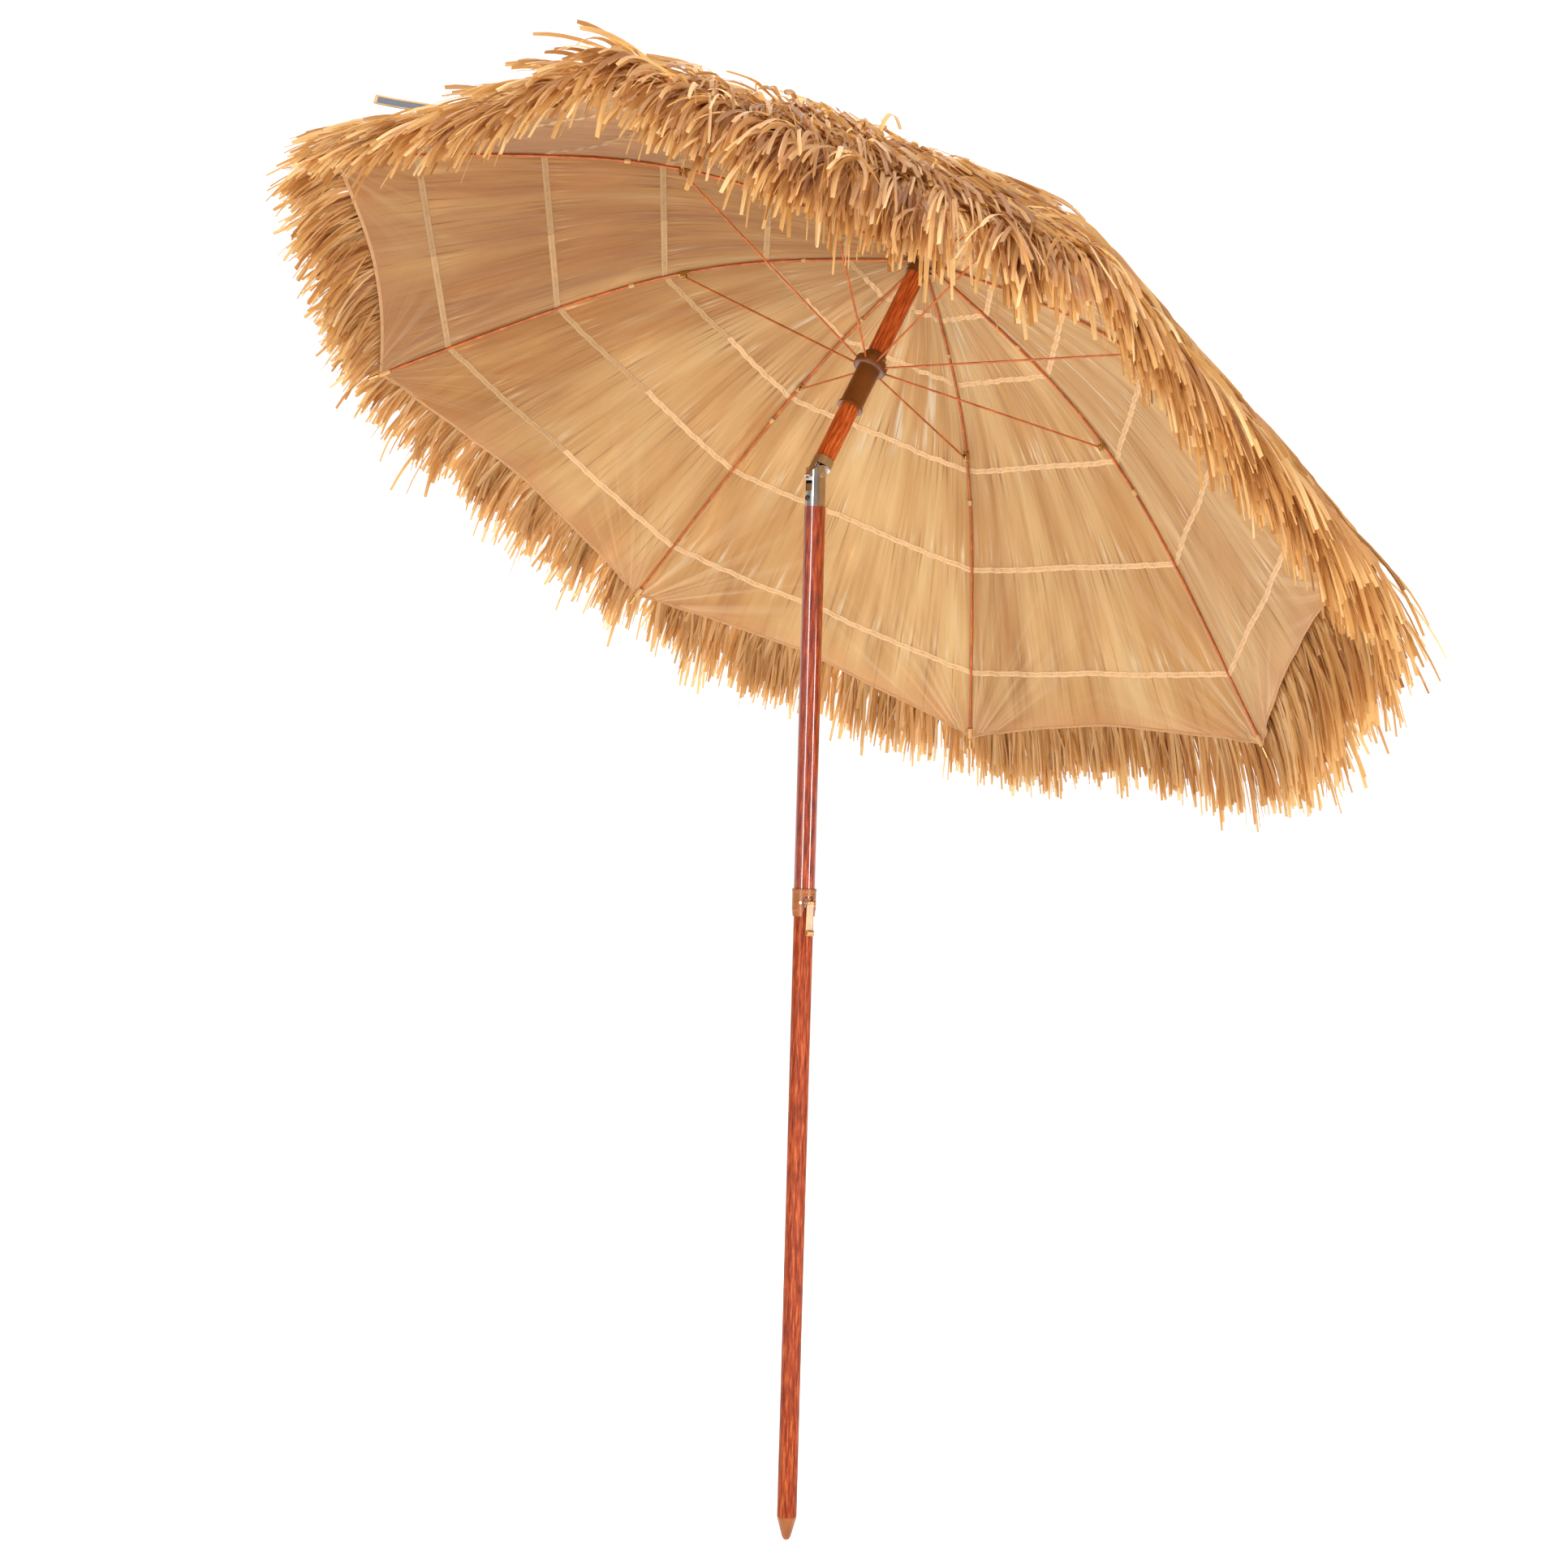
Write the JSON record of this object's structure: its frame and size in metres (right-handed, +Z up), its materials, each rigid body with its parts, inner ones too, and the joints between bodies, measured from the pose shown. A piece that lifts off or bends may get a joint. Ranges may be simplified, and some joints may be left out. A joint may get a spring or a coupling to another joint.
{
  "type": "thatched beach umbrella",
  "caption": "Tilting beach umbrella with a thatched raffia canopy, sprung steel ribs, a woodgrain telescoping pole and a ground spike.",
  "frame": {"origin": "centre of the pole's lower end, where its straight wall stops above the ground spike", "axes": "+Z up the pole, +X the way the canopy leans, +Y along the tilt joint's pin"},
  "size_m": [1.5681, 1.819, 2.12],
  "materials": {
    "spike_plastic": "satin",
    "woodgrain_steel": "satin",
    "bronze_plastic": "gloss",
    "chrome_steel": "polished",
    "copper_wire": "satin",
    "dark_plastic": "satin",
    "canopy_cloth": "matte",
    "raffia": "matte",
    "strap_webbing": "matte",
    "zinc_steel": "satin"
  },
  "bodies": {
    "pole_base": {"ground_spike": "spike_plastic", "lower_pole": "woodgrain_steel", "lower_pole_plug": "dark_plastic"},
    "upper_tube": {"middle_pole": "woodgrain_steel", "height_collar": "bronze_plastic", "collar_screw": "zinc_steel", "lever_pin": "zinc_steel", "lock_shoe": "dark_plastic", "tilt_lower_sleeve": "chrome_steel", "tilt_pivot_pin": "zinc_steel"},
    "lever": {"lock_lever": "bronze_plastic"},
    "button": {"tilt_button": "dark_plastic"},
    "mast_group": {"tilt_upper_sleeve": "chrome_steel", "mast": "woodgrain_steel", "top_notch": "bronze_plastic", "notch_ring": "zinc_steel", "top_cap": "dark_plastic"},
    "runner_group": {"runner": "bronze_plastic", "runner_ring": "zinc_steel"},
    "rib_arm_1": {"rib_1": "copper_wire", "rib_fittings_1": "zinc_steel", "canopy_gore_1": "canopy_cloth", "thatch_gore_1": "raffia"},
    "stretcher_arm_1": {"stretcher_1": "copper_wire"},
    "rib_arm_2": {"rib_2": "copper_wire", "rib_fittings_2": "zinc_steel", "canopy_gore_2": "canopy_cloth", "thatch_gore_2": "raffia"},
    "stretcher_arm_2": {"stretcher_2": "copper_wire"},
    "rib_arm_3": {"rib_3": "copper_wire", "rib_fittings_3": "zinc_steel", "canopy_gore_3": "canopy_cloth", "thatch_gore_3": "raffia"},
    "stretcher_arm_3": {"stretcher_3": "copper_wire"},
    "rib_arm_4": {"rib_4": "copper_wire", "rib_fittings_4": "zinc_steel", "canopy_gore_4": "canopy_cloth", "thatch_gore_4": "raffia"},
    "stretcher_arm_4": {"stretcher_4": "copper_wire"},
    "rib_arm_5": {"rib_5": "copper_wire", "rib_fittings_5": "zinc_steel", "canopy_gore_5": "canopy_cloth", "thatch_gore_5": "raffia"},
    "stretcher_arm_5": {"stretcher_5": "copper_wire"},
    "rib_arm_6": {"rib_6": "copper_wire", "rib_fittings_6": "zinc_steel", "canopy_gore_6": "canopy_cloth", "thatch_gore_6": "raffia"},
    "stretcher_arm_6": {"stretcher_6": "copper_wire"},
    "rib_arm_7": {"rib_7": "copper_wire", "rib_fittings_7": "zinc_steel", "canopy_gore_7": "canopy_cloth", "thatch_gore_7": "raffia"},
    "stretcher_arm_7": {"stretcher_7": "copper_wire"},
    "rib_arm_8": {"rib_8": "copper_wire", "rib_fittings_8": "zinc_steel", "canopy_gore_8": "canopy_cloth", "thatch_gore_8": "raffia", "tie_strap": "strap_webbing"},
    "stretcher_arm_8": {"stretcher_8": "copper_wire"}
  },
  "joints": [
    {"name": "height_slide", "type": "slide", "parent": "pole_base", "child": "upper_tube", "axis": [0, 0, 1], "range_m": [-0.42, 0]},
    {"name": "lever_hinge", "type": "hinge", "parent": "upper_tube", "child": "lever", "pos_m": [-0.0059, -0.02057, 0.931], "axis": [-0.9613, 0.2756, 0], "range_deg": [0, 110]},
    {"name": "tilt_button_slide", "type": "slide", "parent": "upper_tube", "child": "button", "axis": [1, 0, 0], "range_m": [0, 0.003], "stiffness_N_per_m": 1500, "springref_m": -0.002},
    {"name": "tilt_hinge", "type": "hinge", "parent": "upper_tube", "child": "mast_group", "pos_m": [0, 0, 1.578], "axis": [0, -1, 0], "range_deg": [0, 30.45]},
    {"name": "runner_slide", "type": "slide", "parent": "mast_group", "child": "runner_group", "axis": [-0.5068, 0, -0.8621], "range_m": [0, 0.09]},
    {"name": "rib_hinge_1", "type": "hinge", "parent": "mast_group", "child": "rib_arm_1", "pos_m": [0.20026, 0.01827, 1.93471], "axis": [-0.7875, -0.4067, 0.463], "range_deg": [0, 7.03], "deforming": ["canopy_gore_1", "thatch_gore_1"]},
    {"name": "stretcher_hinge_1", "type": "hinge", "parent": "runner_group", "child": "stretcher_arm_1", "pos_m": [0.097, 0.02193, 1.76226], "axis": [0.7875, 0.4067, -0.463], "range_deg": [0, 7.04]},
    {"name": "rib_hinge_2", "type": "hinge", "parent": "mast_group", "child": "rib_arm_2", "pos_m": [0.21345, 0.01867, 1.92695], "axis": [-0.8048, 0.3584, 0.4731], "range_deg": [0, 7.03], "deforming": ["canopy_gore_2", "thatch_gore_2"]},
    {"name": "stretcher_hinge_2", "type": "hinge", "parent": "runner_group", "child": "stretcher_arm_2", "pos_m": [0.11283, 0.02241, 1.75295], "axis": [0.8048, -0.3584, -0.4731], "range_deg": [0, 7.04]},
    {"name": "rib_hinge_3", "type": "hinge", "parent": "mast_group", "child": "rib_arm_3", "pos_m": [0.22303, 0.00813, 1.92133], "axis": [-0.3506, 0.9135, 0.2061], "range_deg": [0, 7.03], "deforming": ["canopy_gore_3", "thatch_gore_3"]},
    {"name": "stretcher_hinge_3", "type": "hinge", "parent": "runner_group", "child": "stretcher_arm_3", "pos_m": [0.12431, 0.00976, 1.7462], "axis": [0.3506, -0.9135, -0.2061], "range_deg": [0, 7.04]},
    {"name": "rib_hinge_4", "type": "hinge", "parent": "mast_group", "child": "rib_arm_4", "pos_m": [0.22337, -0.00717, 1.92112], "axis": [0.3089, 0.9336, -0.1816], "range_deg": [0, 7.03], "deforming": ["canopy_gore_4", "thatch_gore_4"]},
    {"name": "stretcher_hinge_4", "type": "hinge", "parent": "runner_group", "child": "stretcher_arm_4", "pos_m": [0.12473, -0.0086, 1.74596], "axis": [-0.3089, -0.9336, 0.1816], "range_deg": [0, 7.04]},
    {"name": "rib_hinge_5", "type": "hinge", "parent": "mast_group", "child": "rib_arm_5", "pos_m": [0.21429, -0.01827, 1.92646], "axis": [0.7875, 0.4067, -0.463], "range_deg": [0, 7.03], "deforming": ["canopy_gore_5", "thatch_gore_5"]},
    {"name": "stretcher_hinge_5", "type": "hinge", "parent": "runner_group", "child": "stretcher_arm_5", "pos_m": [0.11383, -0.02193, 1.75236], "axis": [-0.7875, -0.4067, 0.463], "range_deg": [0, 7.04]},
    {"name": "rib_hinge_6", "type": "hinge", "parent": "mast_group", "child": "rib_arm_6", "pos_m": [0.2011, -0.01867, 1.93422], "axis": [0.8048, -0.3584, -0.4731], "range_deg": [0, 7.03], "deforming": ["canopy_gore_6", "thatch_gore_6"]},
    {"name": "stretcher_hinge_6", "type": "hinge", "parent": "runner_group", "child": "stretcher_arm_6", "pos_m": [0.098, -0.02241, 1.76167], "axis": [-0.8048, 0.3584, 0.4731], "range_deg": [0, 7.04]},
    {"name": "rib_hinge_7", "type": "hinge", "parent": "mast_group", "child": "rib_arm_7", "pos_m": [0.19152, -0.00813, 1.93985], "axis": [0.3506, -0.9135, -0.2061], "range_deg": [0, 7.03], "deforming": ["canopy_gore_7", "thatch_gore_7"]},
    {"name": "stretcher_hinge_7", "type": "hinge", "parent": "runner_group", "child": "stretcher_arm_7", "pos_m": [0.08651, -0.00976, 1.76842], "axis": [-0.3506, 0.9135, 0.2061], "range_deg": [0, 7.04]},
    {"name": "rib_hinge_8", "type": "hinge", "parent": "mast_group", "child": "rib_arm_8", "pos_m": [0.19118, 0.00717, 1.94005], "axis": [-0.3089, -0.9336, 0.1816], "range_deg": [0, 7.03], "deforming": ["canopy_gore_8", "thatch_gore_8"]},
    {"name": "stretcher_hinge_8", "type": "hinge", "parent": "runner_group", "child": "stretcher_arm_8", "pos_m": [0.0861, 0.0086, 1.76867], "axis": [0.3089, 0.9336, -0.1816], "range_deg": [0, 7.04]}
  ],
  "couplings": [
    {"joint": "rib_hinge_1", "follows": "runner_slide", "rad_per_m": 1.3636},
    {"joint": "stretcher_hinge_1", "follows": "runner_slide", "rad_per_m": 1.366},
    {"joint": "rib_hinge_2", "follows": "runner_slide", "rad_per_m": 1.3636},
    {"joint": "stretcher_hinge_2", "follows": "runner_slide", "rad_per_m": 1.366},
    {"joint": "rib_hinge_3", "follows": "runner_slide", "rad_per_m": 1.3636},
    {"joint": "stretcher_hinge_3", "follows": "runner_slide", "rad_per_m": 1.366},
    {"joint": "rib_hinge_4", "follows": "runner_slide", "rad_per_m": 1.3636},
    {"joint": "stretcher_hinge_4", "follows": "runner_slide", "rad_per_m": 1.366},
    {"joint": "rib_hinge_5", "follows": "runner_slide", "rad_per_m": 1.3636},
    {"joint": "stretcher_hinge_5", "follows": "runner_slide", "rad_per_m": 1.366},
    {"joint": "rib_hinge_6", "follows": "runner_slide", "rad_per_m": 1.3636},
    {"joint": "stretcher_hinge_6", "follows": "runner_slide", "rad_per_m": 1.366},
    {"joint": "rib_hinge_7", "follows": "runner_slide", "rad_per_m": 1.3636},
    {"joint": "stretcher_hinge_7", "follows": "runner_slide", "rad_per_m": 1.366},
    {"joint": "rib_hinge_8", "follows": "runner_slide", "rad_per_m": 1.3636},
    {"joint": "stretcher_hinge_8", "follows": "runner_slide", "rad_per_m": 1.366}
  ]
}
